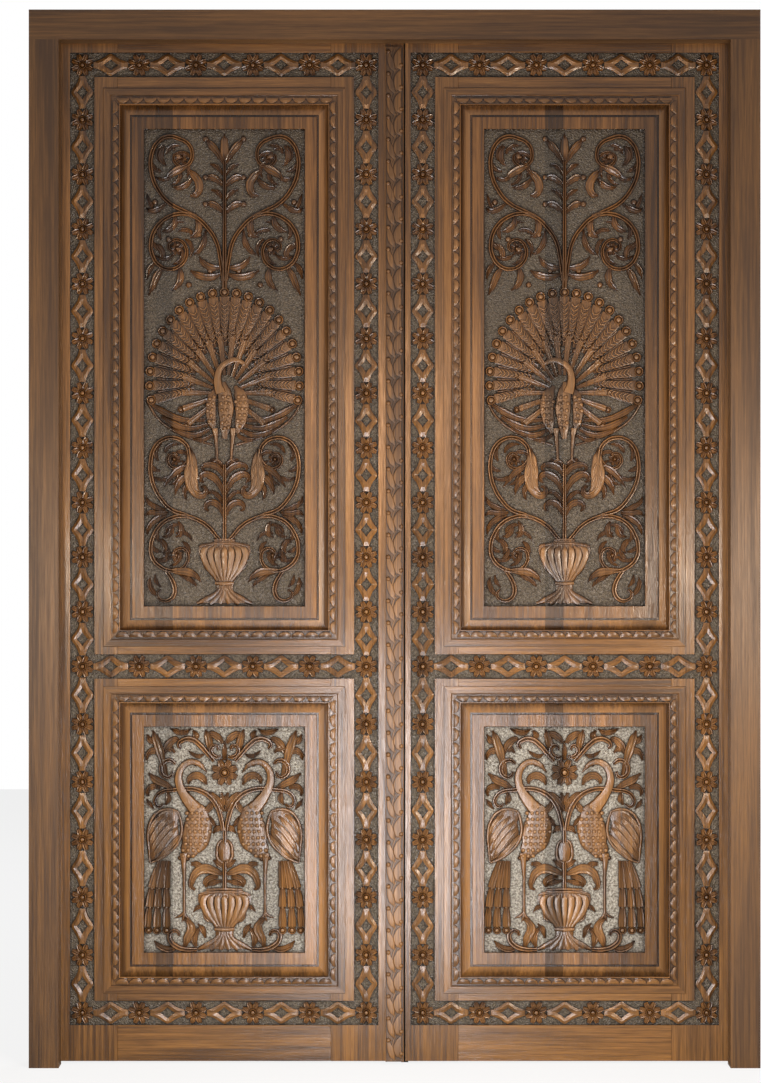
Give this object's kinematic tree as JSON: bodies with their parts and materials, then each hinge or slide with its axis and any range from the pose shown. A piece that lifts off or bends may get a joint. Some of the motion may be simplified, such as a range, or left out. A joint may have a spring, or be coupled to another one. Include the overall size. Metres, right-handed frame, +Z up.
{
  "type": "carved temple door",
  "caption": "Pair of carved wooden temple door leaves with peacock panels, rosette bands and a carved centre strip, hung by lift-off hinges in a plain rebated frame",
  "frame": {"origin": "floor level, at the bottom centre of the object's box: the middle of the doorway, midway through its depth", "axes": "+X to the viewer's right, +Y away from the viewer, the way the leaves open, +Z up"},
  "size_m": [1.524, 0.1134, 2.205],
  "materials": {
    "frame_wood": "plain dark varnished hardwood",
    "leaf_wood": "dark varnished hardwood, boards of differing tone",
    "panel_wood": "carved and varnished hardwood with a dull stippled ground",
    "moulding_wood": "carved dark varnished hardwood",
    "hinge_metal": "plain satin steel"
  },
  "bodies": {
    "frame": {"frame_jamb_left": "frame_wood", "frame_jamb_right": "frame_wood", "frame_head": "frame_wood", "hinge_frame_halves_left": "hinge_metal", "hinge_frame_halves_right": "hinge_metal"},
    "leaf_left": {"hinge_leaf_halves_left": "hinge_metal", "hanging_stile_left": "leaf_wood", "meeting_stile_left": "leaf_wood", "bottom_rail_left": "leaf_wood", "middle_rail_left": "leaf_wood", "top_rail_left": "leaf_wood", "upper_panel_left": "panel_wood", "lower_panel_left": "panel_wood", "centre_strip": "moulding_wood", "upper_moulding_top_left": "moulding_wood", "upper_moulding_bottom_left": "moulding_wood", "upper_moulding_outer_left": "moulding_wood", "upper_moulding_inner_left": "moulding_wood", "lower_moulding_top_left": "moulding_wood", "lower_moulding_bottom_left": "moulding_wood", "lower_moulding_outer_left": "moulding_wood", "lower_moulding_inner_left": "moulding_wood"},
    "leaf_right": {"hinge_leaf_halves_right": "hinge_metal", "hanging_stile_right": "leaf_wood", "meeting_stile_right": "leaf_wood", "bottom_rail_right": "leaf_wood", "middle_rail_right": "leaf_wood", "top_rail_right": "leaf_wood", "upper_panel_right": "panel_wood", "lower_panel_right": "panel_wood", "upper_moulding_top_right": "moulding_wood", "upper_moulding_bottom_right": "moulding_wood", "upper_moulding_outer_right": "moulding_wood", "upper_moulding_inner_right": "moulding_wood", "lower_moulding_top_right": "moulding_wood", "lower_moulding_bottom_right": "moulding_wood", "lower_moulding_outer_right": "moulding_wood", "lower_moulding_inner_right": "moulding_wood"}
  },
  "joints": [
    {"name": "left_leaf_swing", "type": "hinge", "parent": "frame", "child": "leaf_left", "pos_m": [-0.7105, 0.05025, 0], "axis": [0, 0, 1], "range_deg": [0, 105]},
    {"name": "right_leaf_swing", "type": "hinge", "parent": "frame", "child": "leaf_right", "pos_m": [0.7105, 0.05025, 0], "axis": [0, 0, -1], "range_deg": [0, 105]}
  ]
}
